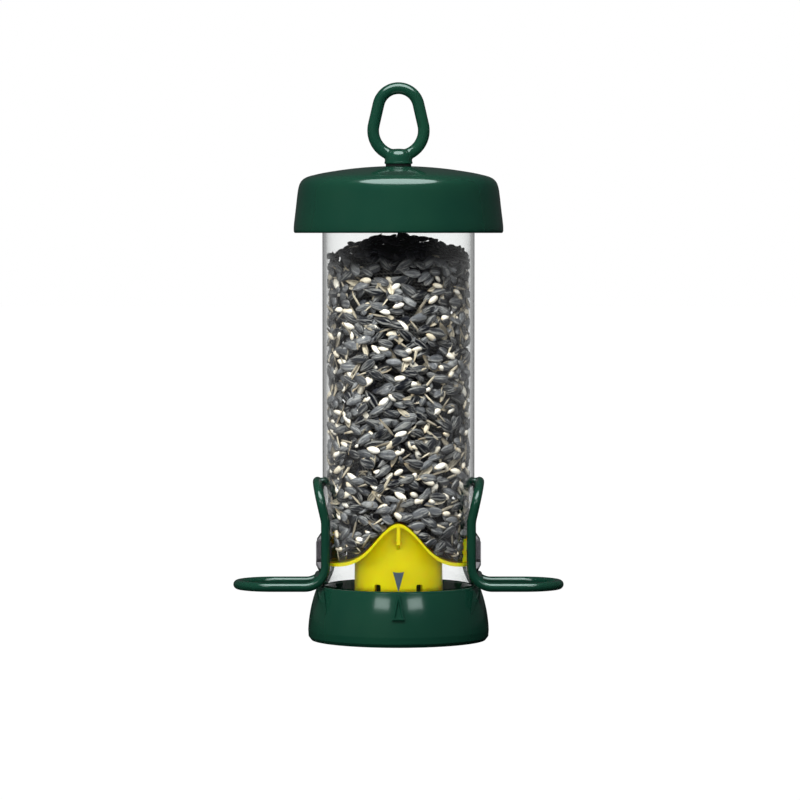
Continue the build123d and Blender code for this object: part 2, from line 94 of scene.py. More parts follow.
def rounded(points, wanted, steps):
    # a closed outline whose corners have the wanted radius, or less where an edge is short
    out = []
    count = len(points)
    for i, corner in enumerate(points):
        here = Vector(corner)
        back = Vector(points[i - 1]) - here
        ahead = Vector(points[(i + 1) % count]) - here
        turn = math.pi - back.angle(ahead)
        reach = min(wanted * math.tan(turn / 2), back.length * 0.49, ahead.length * 0.49)
        radius = reach / math.tan(turn / 2)
        start = here + back.normalized() * reach
        finish = here + ahead.normalized() * reach
        middle = here + (back.normalized() + ahead.normalized()).normalized() * math.hypot(radius, reach)
        a, b = start - middle, finish - middle
        for k in range(steps + 1):
            share = k / steps
            spot = a.lerp(b, share)
            out.append(tuple(middle + spot.normalized() * radius))
    return out


def spin(outline, segments):
    # turns a closed outline of (radius, height) in mm round the Z axis
    verts, faces = [], []
    for k in range(segments):
        turn = 2 * math.pi * k / segments
        verts += [(r * math.cos(turn) * mm, r * math.sin(turn) * mm, z * mm) for r, z in outline]
    n = len(outline)
    for k in range(segments):
        a, b = k * n, ((k + 1) % segments) * n
        for i in range(n):
            j = (i + 1) % n
            faces.append((a + i, b + i, b + j, a + j))
    return verts, faces


def joinParts(parts):
    verts, faces = [], []
    for v, f in parts:
        base = len(verts)
        verts += list(v)
        faces += [tuple(i + base for i in face) for face in f]
    return verts, faces


def slab(outline, low, high, place):
    # an outline in its own plane, thickened from low to high; place turns (u, v, w) into a point
    n = len(outline)
    verts = [place(u, v, low) for u, v in outline] + [place(u, v, high) for u, v in outline]
    faces = [tuple(range(n))[::-1], tuple(range(n, 2 * n))]
    faces += [(i, (i + 1) % n, n + (i + 1) % n, n + i) for i in range(n)]
    return verts, faces


def rodLoop(path, radius, sides):
    # a round rod on a closed path of points in mm
    p = np.array(path, float)
    n = len(p)
    ahead = np.roll(p, -1, 0) - np.roll(p, 1, 0)
    ahead /= np.linalg.norm(ahead, axis=1)[:, None]
    side = np.cross(ahead[0], (0.3, 0.2, 0.93))
    side /= np.linalg.norm(side)
    verts, faces = [], []
    for i in range(n):
        side = side - ahead[i] * side.dot(ahead[i])
        side /= np.linalg.norm(side)
        up = np.cross(ahead[i], side)
        for k in range(sides):
            a = 2 * math.pi * k / sides
            verts.append(tuple((p[i] + radius * (side * math.cos(a) + up * math.sin(a))) * mm))
    # match the last ring to the first
    last = np.array(verts[(n - 1) * sides:n * sides])
    first = np.array(verts[:sides])
    shift = min(range(sides), key=lambda s: np.sum((np.roll(first, -s, 0) - last) ** 2))
    for i in range(n):
        a, b = i * sides, ((i + 1) % n) * sides
        s = shift if i == n - 1 else 0
        for k in range(sides):
            faces.append((a + k, a + (k + 1) % sides, b + (k + 1 + s) % sides, b + (k + s) % sides))
    return verts, faces


# materials
def newGroup(name, inputs, outputs):
    group = bpy.data.node_groups.new(name, "ShaderNodeTree")
    for label, kind, value in inputs:
        socket = group.interface.new_socket(label, in_out="INPUT", socket_type=kind)
        socket.default_value = value
    for label, kind in outputs:
        group.interface.new_socket(label, in_out="OUTPUT", socket_type=kind)
    return group, group.nodes.new("NodeGroupInput"), group.nodes.new("NodeGroupOutput")


class Web:
    # shorthand for wiring the nodes of one tree
    def __init__(self, tree):
        self.tree = tree

    def node(self, kind, **settings):
        made = self.tree.nodes.new(kind)
        for key, value in settings.items():
            setattr(made, key, value)
        return made

    def link(self, source, target):
        self.tree.links.new(source, target)

    def put(self, socket, value):
        if isinstance(value, bpy.types.NodeSocket):
            self.link(value, socket)
        else:
            socket.default_value = value

    def maths(self, operation, a, b=0.5):
        made = self.node("ShaderNodeMath", operation=operation)
        self.put(made.inputs[0], a)
        self.put(made.inputs[1], b)
        return made.outputs[0]

    def mixColour(self, factor, a, b):
        made = self.node("ShaderNodeMix", data_type="RGBA")
        self.put(made.inputs["Factor"], factor)
        self.put(made.inputs[6], a)
        self.put(made.inputs[7], b)
        return made.outputs[2]

    def noise(self, vector, scale, detail=3.0, roughness=0.55):
        made = self.node("ShaderNodeTexNoise")
        self.put(made.inputs["Vector"], vector)
        self.put(made.inputs["Scale"], scale)
        made.inputs["Detail"].default_value = detail
        made.inputs["Roughness"].default_value = roughness
        return made.outputs["Fac"]

    def ramp(self, value, low, high, toLow=0.0, toHigh=1.0):
        made = self.node("ShaderNodeMapRange")
        self.put(made.inputs["Value"], value)
        for label, number in (("From Min", low), ("From Max", high), ("To Min", toLow), ("To Max", toHigh)):
            self.put(made.inputs[label], number)
        return made.outputs["Result"]


def buildMouldedSkin():
    # moulded plastic: faint flow mottling, fine orange peel, handling scuffs and dust that lies on top
    group, start, end = newGroup(
        "mouldedSkin",
        [("Colour", "NodeSocketColor", (0.1, 0.1, 0.1, 1)), ("Deep Colour", "NodeSocketColor", (0.05, 0.05, 0.05, 1)),
         ("Flow Scale", "NodeSocketFloat", 30.0), ("Peel Scale", "NodeSocketFloat", 900.0),
         ("Roughness", "NodeSocketFloat", 0.2), ("Scuff", "NodeSocketFloat", 0.1), ("Dust", "NodeSocketFloat", 0.05)],
        [("Colour", "NodeSocketColor"), ("Roughness", "NodeSocketFloat"), ("Height", "NodeSocketFloat")])
    w = Web(group)
    place = w.node("ShaderNodeTexCoord").outputs["Object"]
    flow = w.noise(place, start.outputs["Flow Scale"], 2.0)
    fine = w.noise(place, start.outputs["Peel Scale"], 1.0)
    scuffs = w.ramp(w.noise(place, 260.0, 5.0, 0.7), 0.6, 0.78)
    geometry = w.node("ShaderNodeNewGeometry")
    upward = w.node("ShaderNodeSeparateXYZ")
    w.link(geometry.outputs["Normal"], upward.inputs[0])
    lying = w.ramp(upward.outputs["Z"], 0.35, 1.0)
    speckle = w.ramp(w.noise(place, 1500.0, 3.0, 0.8), 0.5, 0.72)
    dust = w.maths("MULTIPLY", w.maths("MULTIPLY", lying, speckle), start.outputs["Dust"])
    colour = w.mixColour(w.ramp(flow, 0.3, 0.7), start.outputs["Colour"], start.outputs["Deep Colour"])
    colour = w.mixColour(dust, colour, (0.42, 0.4, 0.36, 1))
    rough = w.maths("ADD", start.outputs["Roughness"], w.maths("MULTIPLY", scuffs, start.outputs["Scuff"]))
    rough = w.maths("ADD", rough, w.maths("MULTIPLY", dust, 0.6))
    w.link(colour, end.inputs["Colour"])
    w.link(rough, end.inputs["Roughness"])
    w.link(w.maths("ADD", w.maths("MULTIPLY", flow, 1.5), w.maths("MULTIPLY", fine, 0.12)), end.inputs["Height"])
    return group


def newMaterial(name):
    made = bpy.data.materials.new(name)
    made.use_nodes = True
    tree = made.node_tree
    return made, Web(tree), tree.nodes["Principled BSDF"], tree.nodes["Material Output"]


mouldedSkin = buildMouldedSkin()


def addBump(w, shader, height, strength, distance):
    bump = w.node("ShaderNodeBump")
    bump.inputs["Strength"].default_value = strength
    bump.inputs["Distance"].default_value = distance
    w.link(height, bump.inputs["Height"])
    w.link(bump.outputs[0], shader.inputs["Normal"])


def plastic(name, values):
    made, w, shader, _ = newMaterial(name)
    skin = w.node("ShaderNodeGroup", node_tree=mouldedSkin)
    for label, key in (("Colour", "colour"), ("Deep Colour", "deepColour"), ("Flow Scale", "flowScale"),
                       ("Peel Scale", "peelScale"), ("Roughness", "roughness"), ("Scuff", "scuff"), ("Dust", "dust")):
        skin.inputs[label].default_value = values[key]
    w.link(skin.outputs["Colour"], shader.inputs["Base Color"])
    w.link(skin.outputs["Roughness"], shader.inputs["Roughness"])
    addBump(w, shader, skin.outputs["Height"], values["bump"], 0.0002)
    shader.inputs["IOR"].default_value = 1.5
    shader.inputs["Coat Weight"].default_value = values.get("coat", 0.0)
    shader.inputs["Coat Roughness"].default_value = 0.06
    shader.inputs["Subsurface Weight"].default_value = values.get("glow", 0.0)
    shader.inputs["Subsurface Scale"].default_value = 0.004
    return made


greenPlastic = plastic("greenPlastic", {
    "colour": (0.0095, 0.060, 0.034, 1), "deepColour": (0.006, 0.050, 0.031, 1), "flowScale": 26.0,
    "peelScale": 700.0, "roughness": 0.16, "scuff": 0.12, "dust": 0.05, "bump": 0.05, "coat": 0.25})
yellowPlastic = plastic("yellowPlastic", {
    "colour": (0.78, 0.66, 0.0, 1), "deepColour": (0.72, 0.60, 0.0, 1), "flowScale": 40.0,
    "peelScale": 700.0, "roughness": 0.34, "scuff": 0.06, "dust": 0.0, "bump": 0.06, "glow": 0.5})
printedInk = plastic("printedInk", {
    "colour": (0.10, 0.14, 0.18, 1), "deepColour": (0.08, 0.115, 0.15, 1), "flowScale": 300.0,
    "peelScale": 1500.0, "roughness": 0.45, "scuff": 0.1, "dust": 0.0, "bump": 0.08})
sealRubber = plastic("sealRubber", {
    "colour": (0.018, 0.018, 0.018, 1), "deepColour": (0.012, 0.012, 0.012, 1), "flowScale": 120.0,
    "peelScale": 2500.0, "roughness": 0.6, "scuff": 0.2, "dust": 0.15, "bump": 0.2})


def clearMaterial(name, tint, values):
    # clear plastic whose shadows let the light through
    made, w, shader, output = newMaterial(name)
    place = w.node("ShaderNodeTexCoord").outputs["Object"]
    haze = w.ramp(w.noise(place, 90.0, 5.0, 0.65), 0.5, 0.8, values["roughness"], values["roughness"] + values["haze"])
    w.link(haze, shader.inputs["Roughness"])
    shader.inputs["Base Color"].default_value = tint
    shader.inputs["Transmission Weight"].default_value = 1.0
    shader.inputs["IOR"].default_value = values["ior"]
    addBump(w, shader, w.noise(place, 35.0, 2.0), values["bump"], 0.0002)
    through = w.node("ShaderNodeBsdfTransparent")
    through.inputs[0].default_value = values["shadow"]
    rays = w.node("ShaderNodeLightPath")
    blend = w.node("ShaderNodeMixShader")
    w.link(rays.outputs["Is Shadow Ray"], blend.inputs[0])
    w.link(shader.outputs[0], blend.inputs[1])
    w.link(through.outputs[0], blend.inputs[2])
    w.link(blend.outputs[0], output.inputs["Surface"])
    return made


clearTubeSkin = clearMaterial("clearTubeSkin", (0.985, 0.995, 0.99, 1), {
    "roughness": 0.0, "haze": 0.003, "ior": 1.46, "bump": 0.01, "shadow": (0.94, 0.95, 0.95, 1)})
smokedHood = clearMaterial("smokedHood", (0.27, 0.265, 0.28, 1), {
    "roughness": 0.03, "haze": 0.03, "ior": 1.46, "bump": 0.02, "shadow": (0.6, 0.6, 0.62, 1)})


def metal(name, colour, roughness):
    made, w, shader, _ = newMaterial(name)
    place = w.node("ShaderNodeTexCoord").outputs["Object"]
    marks = w.noise(place, 1200.0, 4.0, 0.7)
    stain = w.ramp(w.noise(place, 180.0, 3.0), 0.45, 0.75)
    w.link(w.mixColour(stain, colour, tuple(c * 0.7 for c in colour[:3]) + (1,)), shader.inputs["Base Color"])
    w.link(w.ramp(marks, 0.3, 0.7, roughness - 0.08, roughness + 0.1), shader.inputs["Roughness"])
    shader.inputs["Metallic"].default_value = 1.0
    addBump(w, shader, marks, 0.15, 0.0001)
    return made


steel = metal("steel", (0.62, 0.62, 0.6, 1), 0.3)


# painted shade: the lid's shadow on the top of the heap, given as the heights it runs between and its near-black colour
lidShade = {"low": 0.1855, "high": 0.192, "colour": (0.004, 0.0045, 0.008, 1)}


def seedMaterial(name, values):
    # husk: streaks run along each seed on its own UV map, and each seed has its own tone
    made, w, shader, _ = newMaterial(name)
    uv = w.node("ShaderNodeUVMap", uv_map="seedUv").outputs[0]
    tone = w.node("ShaderNodeAttribute", attribute_name="seedTone").outputs["Fac"]
    place = w.node("ShaderNodeTexCoord").outputs["Object"]
    parts = w.node("ShaderNodeSeparateXYZ")
    w.link(uv, parts.inputs[0])
    across = w.node("ShaderNodeCombineXYZ")
    w.link(w.maths("MULTIPLY", parts.outputs["X"], 1.2), across.inputs[0])
    w.link(w.maths("MULTIPLY", parts.outputs["Y"], values["streaks"]), across.inputs[1])
    w.link(w.maths("MULTIPLY", tone, 40.0), across.inputs[2])
    streak = w.noise(across.outputs[0], 1.0, 2.0, 0.5)
    mottle = w.noise(place, 700.0, 3.0, 0.6)
    body = w.mixColour(w.maths("POWER", tone, values["toneCurve"]), values["dark"], values["light"])
    lines = w.ramp(streak, values["lineLow"], values["lineHigh"])
    body = w.mixColour(w.maths("MULTIPLY", lines, values["lineShare"]), body, values["line"])
    # a thin pale line down both edges of the husk, and a stained end
    wave = w.maths("ABSOLUTE", w.maths("SINE", w.maths("MULTIPLY", parts.outputs["Y"], 2 * math.pi)))
    body = w.mixColour(w.maths("MULTIPLY", w.ramp(wave, 0.3, 0.12), values["rimShare"]), body, values["line"])
    body = w.mixColour(w.maths("MULTIPLY", w.ramp(parts.outputs["X"], 0.22, 0.02), values["tipShare"]), body,
                       values["tip"])
    body = w.mixColour(w.maths("MULTIPLY", w.ramp(mottle, 0.4, 0.75), values["mottle"]), body, values["stain"])
    # painted shade: each husk darkens towards the stain colour where it turns away from view; the stain colour also
    # serves as this painted shade
    turned = w.node("ShaderNodeLayerWeight")
    turned.inputs["Blend"].default_value = 0.4
    edge = w.maths("MULTIPLY", w.ramp(turned.outputs["Facing"], 0.12, 0.75), values["edgeShade"])
    body = w.mixColour(edge, body, values["stain"])
    # painted shade: the lid's shadow darkens the top of the heap, above the low height set for it
    height = w.node("ShaderNodeSeparateXYZ")
    w.link(place, height.inputs[0])
    top = w.maths("MULTIPLY", w.ramp(height.outputs["Z"], lidShade["low"], lidShade["high"]), values["topShade"])
    body = w.mixColour(top, body, lidShade["colour"])
    w.link(body, shader.inputs["Base Color"])
    w.link(w.ramp(mottle, 0.3, 0.7, values["rough"] - 0.08, values["rough"] + 0.12), shader.inputs["Roughness"])
    addBump(w, shader, w.maths("ADD", streak, w.maths("MULTIPLY", mottle, 0.4)), values["bump"], 0.0003)
    return made


huskValues = {
    "dark": (0.004, 0.005, 0.009, 1), "light": (0.20, 0.21, 0.225, 1), "line": (0.55, 0.55, 0.52, 1),
    "stain": (0.004, 0.0045, 0.008, 1), "streaks": 15.0, "lineLow": 0.5, "lineHigh": 0.6, "lineShare": 0.42,
    "rimShare": 0.4, "tip": (0.3, 0.27, 0.22, 1), "tipShare": 0.25, "mottle": 0.5, "rough": 0.4, "bump": 0.9,
    "toneCurve": 1.7, "edgeShade": 0.85, "topShade": 0.97}
blackHusk = seedMaterial("blackHusk", huskValues)
shadedHusk = seedMaterial("shadedHusk", {
    **huskValues, "light": (0.06, 0.065, 0.08, 1), "line": (0.12, 0.12, 0.12, 1), "lineShare": 0.3})
creamKernel = seedMaterial("creamKernel", {
    "dark": (0.70, 0.62, 0.46, 1), "light": (0.96, 0.94, 0.86, 1), "line": (0.75, 0.66, 0.5, 1),
    "stain": (0.5, 0.4, 0.27, 1), "streaks": 5.0, "lineLow": 0.55, "lineHigh": 0.8, "lineShare": 0.25,
    "rimShare": 0.0, "tip": (0.55, 0.4, 0.2, 1), "tipShare": 0.7, "mottle": 0.2, "rough": 0.45, "bump": 0.25,
    "toneCurve": 0.5, "edgeShade": 0.5, "topShade": 0.6})
paleHull = seedMaterial("paleHull", {
    "dark": (0.22, 0.19, 0.14, 1), "light": (0.74, 0.67, 0.51, 1), "line": (0.09, 0.08, 0.07, 1),
    "stain": (0.12, 0.10, 0.08, 1), "streaks": 9.0, "lineLow": 0.5, "lineHigh": 0.6, "lineShare": 0.6,
    "rimShare": 0.0, "tip": (0.46, 0.32, 0.15, 1), "tipShare": 0.6, "mottle": 0.35, "rough": 0.6, "bump": 0.5,
    "toneCurve": 0.8, "edgeShade": 0.65, "topShade": 0.8})
print("materials made")


# roof
roofSizes = {"segments": 192, "sharp": 40}
outerRoof = smoothLine([
    (52.38, 204.6), (52.3, 207.2), (51.9, 210.8), (51.45, 214.5), (51.05, 218), (50.6, 222), (50.1, 225.4),
    (49.2, 228.3), (47.6, 230.3), (45.2, 231.6), (41.5, 232.6), (36.8, 233.6), (28.0, 235.0), (20, 235.95),
    (13.0, 236.5), (8.0, 236.75), (4.09, 236.8)], 6)
innerRoof = smoothLine([
    (4.09, 234.5), (13.0, 234.2), (28.0, 232.6), (36.8, 231.2), (43.6, 229.6), (46.0, 228.2), (47.4, 226.0),
    (48.1, 223.0), (49.1, 214.0), (49.9, 207.0), (50.2, 204.6)], 5)
skirtFoot = [(50.35, 204.0), (50.75, 203.62), (51.25, 203.5), (51.75, 203.55), (52.15, 203.85)]
roof = meshObject("roof", *spin(outerRoof + innerRoof + skirtFoot, roofSizes["segments"]), greenPlastic,
                  roofSizes["sharp"])
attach(roof, "lid")
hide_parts("lid")
print("roof made")


# hanging eye
eyeSizes = {"rod": 3.0, "lowR": 12.65, "lowZ": 254.6, "highR": 10.2, "highZ": 265.5, "sides": 28, "voxel": 0.28,
            "softenings": 22}


def eyePath(steps=28):
    lean = math.asin((eyeSizes["lowR"] - eyeSizes["highR"]) / (eyeSizes["highZ"] - eyeSizes["lowZ"]))
    points = []
    for t in np.linspace(math.pi - lean, lean, steps):
        points.append((eyeSizes["highR"] * math.cos(t), 0, eyeSizes["highZ"] + eyeSizes["highR"] * math.sin(t)))
    for t in np.linspace(lean, -math.pi - lean, steps * 2):
        points.append((eyeSizes["lowR"] * math.cos(t), 0, eyeSizes["lowZ"] + eyeSizes["lowR"] * math.sin(t)))
    return points


stemOutline = [(0, 237.82), (6.6, 237.82), (7.2, 238.15), (7.25, 238.5), (6.85, 239.0), (6.8, 240.0), (6.75, 241.2),
               (6.4, 242.8), (5.6, 244.2), (4.2, 245.1), (2.0, 245.5), (0, 245.6)]
shank = [(0, 208.7), (3.7, 208.7), (4.0, 209.0), (4.0, 221.2), (3.25, 221.3), (3.25, 222.75), (4.0, 222.85),
         (4.0, 238.4), (0, 238.4)]
eyeTop = meshObject("eyeTop", *joinParts([rodLoop(eyePath(), eyeSizes["rod"], eyeSizes["sides"]),
                                              spin(stemOutline, 64)]),
                    greenPlastic)
remesh = eyeTop.modifiers.new("blendSurfaces", "REMESH")
remesh.mode = "VOXEL"
remesh.voxel_size = eyeSizes["voxel"] * mm
soften = eyeTop.modifiers.new("softenCrease", "SMOOTH")
soften.factor = 0.5
soften.iterations = eyeSizes["softenings"]
bake(eyeTop)
shankMesh = bpy.data.meshes.new("shankMesh")
shankVerts, shankFaces = spin(shank, 48)
shankMesh.from_pydata(shankVerts, [], shankFaces)
tidyMesh(shankMesh, 40)
joined = bmesh.new()
joined.from_mesh(eyeTop.data)
joined.from_mesh(shankMesh)
hangingEyeMesh = bpy.data.meshes.new("hangingEye")
joined.to_mesh(hangingEyeMesh)
joined.free()
hangingEyeMesh.materials.append(greenPlastic)
hangingEyeMesh.shade_smooth()
bpy.data.objects.remove(eyeTop)
hangingEye = addObject("hangingEye", hangingEyeMesh)
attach(hangingEye, "hanger")
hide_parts("hanger")
print("hanging eye made")


# clear tube
tubeSizes = {
    "outer": 38.0, "wall": 1.8, "foot": 8.05, "top": 221.0, "segments": 256, "edge": 0.35, "sharp": 12,
    "windowHalf": 10.3, "windowLow": 38.6, "windowHigh": 52.4, "windowCorner": 1.5,
    "pegR": 2.05, "pegZ": (79.2, 31.0), "rivetR": 1.7, "rivetZ": 215}


def cutWith(obj, cutter):
    cut = obj.modifiers.new("cut", "BOOLEAN")
    cut.operation = "DIFFERENCE"
    cut.solver = "EXACT"
    cut.object = cutter
    bake(obj)
    bpy.data.objects.remove(cutter)


tubeInner = tubeSizes["outer"] - tubeSizes["wall"]
tubeOutline = rounded([(tubeInner, tubeSizes["foot"]), (tubeSizes["outer"], tubeSizes["foot"]),
                       (tubeSizes["outer"], tubeSizes["top"]), (tubeInner, tubeSizes["top"])], tubeSizes["edge"], 3)
clearTube = meshObject("clearTube", *spin(tubeOutline, tubeSizes["segments"]), clearTubeSkin, tubeSizes["sharp"])


def roundHole(radius, height):
    turns = np.linspace(0, 2 * math.pi, 24, False)
    return [(radius * math.cos(a), height + radius * math.sin(a)) for a in turns]


def boreThrough(outline, place):
    # long enough to pass both walls
    return slab(outline, -60, 60, place)


sideways = lambda u, v, w: (w * mm, u * mm, v * mm)
forwards = lambda u, v, w: (-u * mm, w * mm, v * mm)
half, low, high = tubeSizes["windowHalf"], tubeSizes["windowLow"], tubeSizes["windowHigh"]
window = rounded([(-half, low), (half, low), (half, high), (-half, high)], tubeSizes["windowCorner"], 4)
holes = [boreThrough(window, sideways)]
holes += [boreThrough(roundHole(tubeSizes["pegR"], height), sideways) for height in tubeSizes["pegZ"]]
holes.append(boreThrough(roundHole(tubeSizes["rivetR"], tubeSizes["rivetZ"]), forwards))
cutWith(clearTube, meshObject("tubeHoles", *joinParts(holes), steel))
tidyMesh(clearTube.data, tubeSizes["sharp"])
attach(clearTube, "tube")
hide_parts("tube")
print("tube made")


# seed
seedSizes = {
    "outerRadius": 34.5, "middleRadius": 33.1, "innerRadius": 30.8, "coreRadius": 28.6, "heapRadius": 34.0,
    "edgeZ": 190.6, "crownZ": 201.4, "coreTop": 192.0, "coreCrown": 200.3, "coreReach": 25.5,
    "hoodHalf": 13.0, "hoodReach": 25.0, "hoodTop": 55.0, "wallLimit": 35.95, "ridgeGap": 0.45}


def ridgeZ(x):
    return 39.5 + 21.0 * np.exp(-(np.asarray(x, float) / 15.0) ** 2)


def heapEdge(a):
    return seedSizes["edgeZ"] + 2.2 * math.sin(a * 2 + 0.6) + 1.2 * math.sin(a * 5)


def seedShape(name, length, width, thick, rings, around, point, hollow=0.0):
    # one seed lying along X with its point at low X, flat on XY, with u along it and v round it
    verts, uvs, faces = [], [], []
    shares = [0.0] + [(1 - math.cos(math.pi * (i + 0.6) / rings)) / 2 for i in range(rings)] + [1.0]
    shares = sorted(set(min(1.0, s) for s in shares))
    widest = point / (point + 0.45)
    for s in shares:
        swell = (s / widest) ** point * ((1 - s) / (1 - widest)) ** 0.45
        for k in range(around):
            a = 2 * math.pi * k / around
            y = width / 2 * swell * math.copysign(abs(math.cos(a)) ** 0.9, math.cos(a))
            z = thick / 2 * swell * math.copysign(abs(math.sin(a)) ** 1.15, math.sin(a))
            if hollow and math.sin(a) > 0:
                z *= -hollow
            if hollow:
                z += 0.09 * width * (2 * y / width) ** 2
            verts.append(((s - 0.5) * length * mm, y * mm, z * mm))
            uvs.append((s, k / around))
    count = len(shares)
    for i in range(count - 1):
        for k in range(around):
            j = (k + 1) % around
            faces.append((i * around + k, (i + 1) * around + k, (i + 1) * around + j, i * around + j))
    mesh = bpy.data.meshes.new(name)
    mesh.from_pydata(verts, [], faces)
    layer = mesh.uv_layers.new(name="seedUv")
    for polygon in mesh.polygons:
        ks = [mesh.loops[li].vertex_index % around for li in polygon.loop_indices]
        wrap = max(ks) == around - 1 and min(ks) == 0
        for li in polygon.loop_indices:
            u, v = uvs[mesh.loops[li].vertex_index]
            layer.data[li].uv = (u, 1.0 if wrap and v == 0 else v)
    bm = bmesh.new()
    bm.from_mesh(mesh)
    bmesh.ops.remove_doubles(bm, verts=bm.verts, dist=mergeBy)
    bmesh.ops.recalc_face_normals(bm, faces=bm.faces)
    for face in bm.faces:
        face.smooth = True
    bm.to_mesh(mesh)
    bm.free()
    return addObject(name, mesh)


def scatterTree():
    tree = bpy.data.node_groups.new("seedScatter", "GeometryNodeTree")
    for label, kind in (("Geometry", "NodeSocketGeometry"), ("Seed Shape", "NodeSocketObject"),
                        ("Second Shape", "NodeSocketObject"), ("Spacing", "NodeSocketFloat"),
                        ("Density", "NodeSocketFloat"), ("Smallest", "NodeSocketFloat"), ("Largest", "NodeSocketFloat"),
                        ("Tilt", "NodeSocketFloat"), ("Swing", "NodeSocketFloat"), ("Random Seed", "NodeSocketInt"),
                        ("Finish", "NodeSocketMaterial")):
        tree.interface.new_socket(label, in_out="INPUT", socket_type=kind)
    tree.interface.new_socket("Geometry", in_out="OUTPUT", socket_type="NodeSocketGeometry")
    w = Web(tree)
    start, end = w.node("NodeGroupInput"), w.node("NodeGroupOutput")
    points = w.node("GeometryNodeDistributePointsOnFaces", distribute_method="POISSON")
    w.link(start.outputs["Geometry"], points.inputs["Mesh"])
    w.link(start.outputs["Spacing"], points.inputs["Distance Min"])
    w.link(start.outputs["Density"], points.inputs["Density Max"])
    w.link(start.outputs["Random Seed"], points.inputs["Seed"])
    # flat side to the wall, long side level, then a random swing
    level = w.node("ShaderNodeVectorMath", operation="CROSS_PRODUCT")
    level.inputs[0].default_value = (0, 0, 1)
    w.link(points.outputs["Normal"], level.inputs[1])
    aim = w.node("FunctionNodeAxesToRotation", primary_axis="Z", secondary_axis="X")
    w.link(points.outputs["Normal"], aim.inputs[0])
    w.link(level.outputs[0], aim.inputs[1])
    tilt = w.node("FunctionNodeRandomValue", data_type="FLOAT_VECTOR")
    lowest, highest = w.node("ShaderNodeCombineXYZ"), w.node("ShaderNodeCombineXYZ")
    for target, sign in ((lowest, -1.0), (highest, 1.0)):
        spread = w.maths("MULTIPLY", start.outputs["Tilt"], sign)
        w.link(spread, target.inputs[0])
        w.link(spread, target.inputs[1])
        w.link(w.maths("MULTIPLY", start.outputs["Swing"], sign), target.inputs[2])
    w.link(lowest.outputs[0], tilt.inputs[0])
    w.link(highest.outputs[0], tilt.inputs[1])
    w.link(w.maths("ADD", start.outputs["Random Seed"], 3.0), tilt.inputs["Seed"])
    euler = w.node("FunctionNodeEulerToRotation")
    w.link(tilt.outputs[0], euler.inputs[0])
    turn = w.node("FunctionNodeRotateRotation", rotation_space="LOCAL")
    w.link(aim.outputs[0], turn.inputs[0])
    w.link(euler.outputs[0], turn.inputs[1])
    # each point picks one of the two shapes
    shapes = w.node("GeometryNodeGeometryToInstance")
    for label in ("Second Shape", "Seed Shape"):
        info = w.node("GeometryNodeObjectInfo", transform_space="ORIGINAL")
        w.link(start.outputs[label], info.inputs[0])
        w.link(info.outputs["Geometry"], shapes.inputs[0])
    size = w.node("FunctionNodeRandomValue", data_type="FLOAT")
    w.link(start.outputs["Smallest"], size.inputs[2])
    w.link(start.outputs["Largest"], size.inputs[3])
    w.link(w.maths("ADD", start.outputs["Random Seed"], 7.0), size.inputs["Seed"])
    place = w.node("GeometryNodeInstanceOnPoints")
    place.inputs["Pick Instance"].default_value = True
    w.link(points.outputs["Points"], place.inputs["Points"])
    w.link(shapes.outputs[0], place.inputs["Instance"])
    w.link(turn.outputs[0], place.inputs["Rotation"])
    w.link(size.outputs[1], place.inputs["Scale"])
    tone = w.node("FunctionNodeRandomValue", data_type="FLOAT")
    w.link(w.maths("ADD", start.outputs["Random Seed"], 11.0), tone.inputs["Seed"])
    keep = w.node("GeometryNodeStoreNamedAttribute", data_type="FLOAT", domain="INSTANCE")
    keep.inputs["Name"].default_value = "seedTone"
    w.link(place.outputs[0], keep.inputs["Geometry"])
    w.link(tone.outputs[1], keep.inputs["Value"])
    real = w.node("GeometryNodeRealizeInstances")
    w.link(keep.outputs[0], real.inputs[0])
    finish = w.node("GeometryNodeSetMaterial")
    w.link(real.outputs[0], finish.inputs["Geometry"])
    w.link(start.outputs["Finish"], finish.inputs["Material"])
    w.link(finish.outputs[0], end.inputs[0])
    return tree


seedScatter = scatterTree()


def setInputs(modifier, values):
    for item in modifier.node_group.interface.items_tree:
        if item.in_out == "INPUT" and item.name in values:
            modifier[item.identifier] = values[item.name]


def wallSheet(name, radius, inset):
    # the face the seeds lie on, inside the tube's wall, from the ramp or the hoods up to the heap's edge
    around, up = 96, 60
    verts, faces = [], []
    for k in range(around):
        a = 2 * math.pi * k / around
        x, y = radius * math.cos(a), radius * math.sin(a)
        low = float(ridgeZ(x)) + 2.0
        if abs(y) < seedSizes["hoodHalf"] and abs(x) > seedSizes["hoodReach"]:
            low = seedSizes["hoodTop"]
        edge = heapEdge(a)
        for i in range(up + 1):
            verts.append((x * mm, y * mm, (low + (edge - inset - low) * i / up) * mm))
    for k in range(around):
        a, b = k * (up + 1), ((k + 1) % around) * (up + 1)
        for i in range(up):
            faces.append((a + i, b + i, b + i + 1, a + i + 1))
    mesh = bpy.data.meshes.new(name)
    mesh.from_pydata(verts, [], faces)
    return addObject(name, mesh)


def heapSheet(name):
    # the heap's top, falling from the crown to the edge
    verts, faces = [], []
    around, rings = 64, 10
    for i in range(rings + 1):
        r = seedSizes["heapRadius"] * i / rings
        for k in range(around):
            a = 2 * math.pi * k / around
            share = (i / rings) ** 1.9
            z = seedSizes["crownZ"] * (1 - share) + heapEdge(a) * share + 0.8 * math.sin(r * 0.45 + a * 3)
            verts.append((r * math.cos(a) * mm, r * math.sin(a) * mm, z * mm))
    for i in range(rings):
        for k in range(around):
            j = (k + 1) % around
            faces.append((i * around + k, (i + 1) * around + k, (i + 1) * around + j, i * around + j))
    mesh = bpy.data.meshes.new(name)
    mesh.from_pydata(verts, [], faces)
    return addObject(name, mesh)


